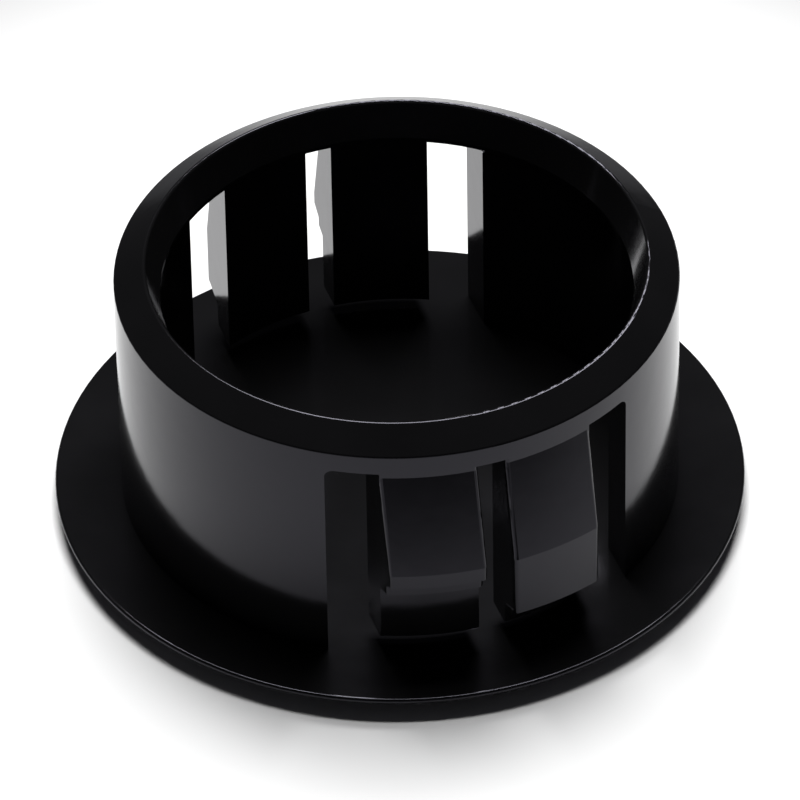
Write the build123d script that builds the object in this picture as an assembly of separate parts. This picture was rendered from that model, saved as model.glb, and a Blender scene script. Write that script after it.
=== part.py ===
from build123d import *
import math
import os

# Snap-in hole plug, moulded in one shot from black nylon. Millimetres.
# Origin: centre of the head's outer face. +Z points the way the plug is pushed
# into its panel. The two windows in the barrel face +Y and -Y.

# ---- head ----
head_r = 15.25          # covers the rim of the panel hole
head_thick = 1.1        # at the middle
head_edge = 0.26        # thickness left at the rim
head_land_r = 8.5       # flat middle of the outer face

# ---- barrel, heights above the panel-side face of the head ----
barrel_r = 12.3
bore_r = 10.6           # inside of the wall between the windows
shoulder_h = 11.2       # where the lead-in bevel starts
shoulder_round = 0.12
crest_r = 10.92         # top line of the hoop
crest_h = 12.1
crest_round = 0.12
hoop_bore_r = 10.3      # narrowest point of the hoop
hoop_bore_h = 10.45
hoop_land = 0.2         # short upright band at the narrowest point
hoop_back_h = 9.85      # where the hoop's bead runs back into the wall

# ---- windows ----
window_half = 6.83      # half the width across the window
window_h = 10.25        # underside of the hoop
window_corner = 0.4

# ---- snap fingers ----
finger_inner_x = 0.59   # half the slot between the two fingers of a window
finger_outer_x = 4.74
finger_bore_r = 10.68   # inner face of a finger
finger_root_h = 10.05   # where the outward ramp starts
finger_root_lap = 0.5   # how far a finger runs up into the hoop
finger_root_r = 12.0    # outside of that buried root
catch_r = 13.42         # widest point, on the land of a finger
catch_h = 5.45          # top of the land
toe_r = 12.15
toe_h = 0.84            # free end of a finger
finger_corner = 0.2     # softened edges down the proud sides of a finger
toe_corner = 0.15       # softened outer edge of the free end

# short-land finger, for thick panels
short_land_h = 4.75
short_step_r = 12.85
short_step_h = 4.35
short_step_foot_h = 3.9
short_toe_h = 3.55

# long-land finger, for thin panels
long_land_h = 2.4
long_toe_h = 1.85

side_tolerance = 0.001
whole_turn = 360
half_turn = 180


def turned(points, rounds=()):
    """Revolve a closed (radius, height) outline about Z; rounds are (corner index, radius)."""
    with BuildPart() as body:
        with BuildSketch(Plane.XZ) as outline:
            with BuildLine():
                Polyline(*points, close=True)
            make_face()
            for index, radius in rounds:
                spot = Vector(points[index][0], points[index][1])
                corner = outline.vertices().sort_by_distance(spot)[0]
                fillet(corner, radius)
        revolve(axis=Axis.Z, revolution_arc=whole_turn)
    return body.part


def head():
    """Thin cover disc: flat panel-side face, outer face curving up to a thin rounded rim."""
    rim_bottom = head_thick - head_edge
    rim_in = head_r - head_edge / 2
    bulge_h = head_thick - head_edge / 2
    with BuildPart() as disc:
        with BuildSketch(Plane.XZ):
            with BuildLine():
                Line((0, 0), (head_land_r, 0))
                TangentArc((head_land_r, 0), (rim_in, rim_bottom), tangent=(1, 0))
                ThreePointArc((rim_in, rim_bottom), (head_r, bulge_h), (rim_in, head_thick))
                Line((rim_in, head_thick), (0, head_thick))
                Line((0, head_thick), (0, 0))
            make_face()
        revolve(axis=Axis.Z, revolution_arc=whole_turn)
    return disc.part


def barrel():
    """Upright wall with a bevelled lead-in; the inside of the hoop narrows to a bead."""
    outline = [
        (bore_r, head_thick),
        (barrel_r, head_thick),
        (barrel_r, head_thick + shoulder_h),
        (crest_r, head_thick + crest_h),
        (hoop_bore_r, head_thick + hoop_bore_h),
        (hoop_bore_r, head_thick + hoop_bore_h - hoop_land),
        (bore_r, head_thick + hoop_back_h),
    ]
    return turned(outline, [(2, shoulder_round), (3, crest_round)])


def windows():
    """Cutter for both windows: straight through the barrel along Y, down to the head."""
    mid_h = head_thick + window_h / 2
    with BuildPart() as cutter:
        with BuildSketch(Plane.XZ):
            with Locations((0, mid_h)):
                Rectangle(2 * window_half, window_h)
        extrude(amount=head_r, both=True)
        upper = cutter.edges().filter_by(Axis.Y).group_by(Axis.Z)[-1]
        fillet(upper, window_corner)
    return cutter.part


def finger_outline(lower):
    """Outline of a finger: root in the hoop, ramp, land, then the given lower points."""
    return [
        (finger_bore_r, head_thick + toe_h),
        (finger_bore_r, head_thick + window_h + finger_root_lap),
        (finger_root_r, head_thick + window_h + finger_root_lap),
        (finger_root_r, head_thick + window_h),
        (barrel_r, head_thick + window_h),
        (barrel_r, head_thick + finger_root_h),
        (catch_r, head_thick + catch_h),
    ] + lower + [(toe_r, head_thick + toe_h)]


def short_land():
    """Lower points of the finger that catches a thick panel, in two steps."""
    return [
        (catch_r, head_thick + short_land_h),
        (short_step_r, head_thick + short_step_h),
        (short_step_r, head_thick + short_step_foot_h),
        (toe_r, head_thick + short_toe_h),
    ]


def long_land():
    """Lower points of the finger that catches a thin panel, in one step."""
    return [
        (catch_r, head_thick + long_land_h),
        (toe_r, head_thick + long_toe_h),
    ]


def finger(lower, side):
    """One finger at the -Y window; side is -1 for the -X half and 1 for the +X half."""
    width = finger_outer_x - finger_inner_x
    middle = side * (finger_inner_x + finger_outer_x) / 2
    outline = finger_outline(lower)
    blank = turned(outline, [(len(outline) - 1, toe_corner)])
    slab = Pos(middle, -head_r, head_thick) * Box(width, 2 * head_r, 2 * shoulder_h)
    piece = blank & slab
    outer = [e for e in piece.edges() if outside(e)]
    return fillet(outer, finger_corner)


def outside(edge):
    """True for the edges down the two sides of a finger that stand proud of the barrel."""
    middle = edge @ 0.5
    along_side = edge.bounding_box().size.X < side_tolerance
    proud = math.hypot(middle.X, middle.Y) > barrel_r
    return along_side and proud


def hole_plug():
    """The whole moulding: head, barrel with its windows, and a pair of fingers at each window."""
    pair = [finger(short_land(), -1), finger(long_land(), 1)]
    body = head() + (barrel() - windows())
    for turn in (0, half_turn):
        for piece in pair:
            body += Rot(0, 0, turn) * piece
    return body


os.makedirs("parts", exist_ok=True)
plug = hole_plug()
export_step(plug, "parts/hole_plug.step")
print("solids", len(plug.solids()), "volume", plug.volume, "box", plug.bounding_box())
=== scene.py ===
import math
import bpy
from mathutils import Matrix, Vector

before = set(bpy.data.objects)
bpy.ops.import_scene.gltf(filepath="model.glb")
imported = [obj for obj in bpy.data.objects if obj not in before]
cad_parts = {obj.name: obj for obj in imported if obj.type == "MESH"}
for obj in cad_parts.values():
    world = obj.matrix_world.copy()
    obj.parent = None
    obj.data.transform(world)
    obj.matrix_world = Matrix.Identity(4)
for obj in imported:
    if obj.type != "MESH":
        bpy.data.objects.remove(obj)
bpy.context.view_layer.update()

# ---- The plug ----
# One moulding of black nylon: a thin cover head, a hollow barrel with a hoop round its mouth,
# and two springy fingers in each of its two windows. It comes from a polished mould, so it is
# glossy all over. Its shape is the CAD node's own, and only the finish is given here.
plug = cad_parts["hole_plug"]
deeper_black = (0.0036, 0.0036, 0.0038, 1)
paler_black = (0.0060, 0.0059, 0.0063, 1)
glint_tint = (0.86, 0.84, 1.0, 1)
nylon_ior = 1.36
cloud_scale = 220.0
smoothest, roughest = 0.10, 0.16
ripple_scale = 900.0
ripple_strength = 0.25
ripple_depth = 0.00002


def black_nylon():
    """Near-black gloss nylon: faint uneven gloss and a very fine ripple."""
    nylon = bpy.data.materials.new("black_nylon")
    nylon.use_nodes = True
    tree = nylon.node_tree
    shader = tree.nodes["Principled BSDF"]
    shader.inputs["IOR"].default_value = nylon_ior
    shader.inputs["Specular Tint"].default_value = glint_tint
    place = tree.nodes.new("ShaderNodeTexCoord")
    cloud = tree.nodes.new("ShaderNodeTexNoise")
    cloud.inputs["Scale"].default_value = cloud_scale
    tree.links.new(place.outputs["Object"], cloud.inputs["Vector"])
    tone = tree.nodes.new("ShaderNodeMix")
    tone.data_type = "RGBA"
    tone.inputs["A"].default_value = deeper_black
    tone.inputs["B"].default_value = paler_black
    tree.links.new(cloud.outputs["Fac"], tone.inputs["Factor"])
    tree.links.new(tone.outputs["Result"], shader.inputs["Base Color"])
    gloss = tree.nodes.new("ShaderNodeMapRange")
    gloss.inputs["To Min"].default_value = smoothest
    gloss.inputs["To Max"].default_value = roughest
    tree.links.new(cloud.outputs["Fac"], gloss.inputs["Value"])
    tree.links.new(gloss.outputs["Result"], shader.inputs["Roughness"])
    ripple = tree.nodes.new("ShaderNodeTexNoise")
    ripple.inputs["Scale"].default_value = ripple_scale
    tree.links.new(place.outputs["Object"], ripple.inputs["Vector"])
    bump = tree.nodes.new("ShaderNodeBump")
    bump.inputs["Strength"].default_value = ripple_strength
    bump.inputs["Distance"].default_value = ripple_depth
    tree.links.new(ripple.outputs["Fac"], bump.inputs["Height"])
    tree.links.new(bump.outputs["Normal"], shader.inputs["Normal"])
    return nylon


for held in plug.material_slots:
    held.material = black_nylon()

# ---- The floor ----
# A plain matt sheet that the plug stands on with its head down. Its colour holds a painted pool
# of light:
# white under and round the plug, and painted shade fading to grey further out.
sheet_width = 1.2
# Colours of the painted pool of light: lit white near the plug, painted dim grey far out.
painted_pool_white = (0.88, 0.88, 0.88, 1)
painted_pool_dim_grey = (0.12, 0.12, 0.125, 1)
paper_roughness = 0.9
painted_pool_start, painted_pool_end = 0.024, 0.060
bpy.ops.mesh.primitive_plane_add(size=sheet_width, location=(0, 0, 0))
floor = bpy.context.object
floor.name = "floor"
sheet = bpy.data.materials.new("sheet_with_painted_light_pool")
sheet.use_nodes = True
paper = sheet.node_tree.nodes["Principled BSDF"]
paper.inputs["Roughness"].default_value = paper_roughness
paper.inputs["Specular IOR Level"].default_value = 0.0
where = sheet.node_tree.nodes.new("ShaderNodeTexCoord")
far = sheet.node_tree.nodes.new("ShaderNodeVectorMath")
far.operation = "LENGTH"
sheet.node_tree.links.new(where.outputs["Object"], far.inputs[0])
# Painted pool of light: the sheet's colour darkens with distance from the plug, standing in for
# light falling off.
fade = sheet.node_tree.nodes.new("ShaderNodeMapRange")
fade.interpolation_type = "SMOOTHSTEP"
fade.inputs["From Min"].default_value = painted_pool_start
fade.inputs["From Max"].default_value = painted_pool_end
sheet.node_tree.links.new(far.outputs["Value"], fade.inputs["Value"])
shade = sheet.node_tree.nodes.new("ShaderNodeMix")
shade.data_type = "RGBA"
shade.inputs["A"].default_value = painted_pool_white
shade.inputs["B"].default_value = painted_pool_dim_grey
sheet.node_tree.links.new(fade.outputs["Result"], shade.inputs["Factor"])
sheet.node_tree.links.new(shade.outputs["Result"], paper.inputs["Base Color"])
floor.data.materials.append(sheet)

# ---- The light ----
# One square soft lamp, high up behind the plug as it is looked at, in a nearly dark room.
turn = math.radians(-18.52)
upright = Matrix.Rotation(turn, 4, "Z")
lamp_place = upright @ Vector((0, 0.10, 0.26))
lamp_side = 0.16
lamp_watts = 1.3
room_grey = (0.02, 0.02, 0.022, 1)
lamp_data = bpy.data.lights.new("back_soft", "AREA")
lamp_data.shape = "SQUARE"
lamp_data.size = lamp_side
lamp_data.energy = lamp_watts
lamp = bpy.data.objects.new("back_soft", lamp_data)
lamp.location = lamp_place
lamp.rotation_mode = "QUATERNION"
lamp.rotation_quaternion = (-lamp_place).to_track_quat("-Z", "Y")
bpy.context.collection.objects.link(lamp)
world = bpy.data.worlds.new("room")
world.use_nodes = True
world.node_tree.nodes["Background"].inputs["Color"].default_value = room_grey
bpy.context.scene.world = world

# ---- The camera ----
# A long lens well above the plug, with one window turned a little to the right of the viewer.
# The aim is off the plug's axis by two small angles, and the camera leans by one degree.
head_r = 0.01525
seat_h = 0.0011
eye_distance = 24.8826 * head_r
aim_h = 0.37 * head_r + seat_h
elevation = math.radians(40.232)
lean = math.radians(-1.0103)
aim_aside = 0.000147638454
aim_above = -0.00341260953
cam_data = bpy.data.cameras.new("camera")
cam_data.sensor_width = 36.0
cam_data.lens = 389.7765
cam_data.clip_start = 0.01
cam_data.clip_end = 10
eye = Vector((0, -eye_distance * math.cos(elevation), aim_h + eye_distance * math.sin(elevation)))
forward = Vector((0, math.cos(elevation), -math.sin(elevation)))
right = Vector((1, 0, 0))
swing = Matrix.Rotation(-aim_aside, 3, right.cross(forward))
forward, right = swing @ forward, swing @ right
forward = Matrix.Rotation(aim_above, 3, right) @ forward
up = right.cross(forward)
leaned_right = right * math.cos(lean) + up * math.sin(lean)
leaned_up = up * math.cos(lean) - right * math.sin(lean)
camera = bpy.data.objects.new("camera", cam_data)
facing = Matrix((leaned_right, leaned_up, -forward)).transposed().to_4x4()
camera.matrix_world = upright @ Matrix.Translation(eye) @ facing
bpy.context.collection.objects.link(camera)
bpy.context.scene.camera = camera
bpy.context.scene.view_settings.view_transform = "Standard"
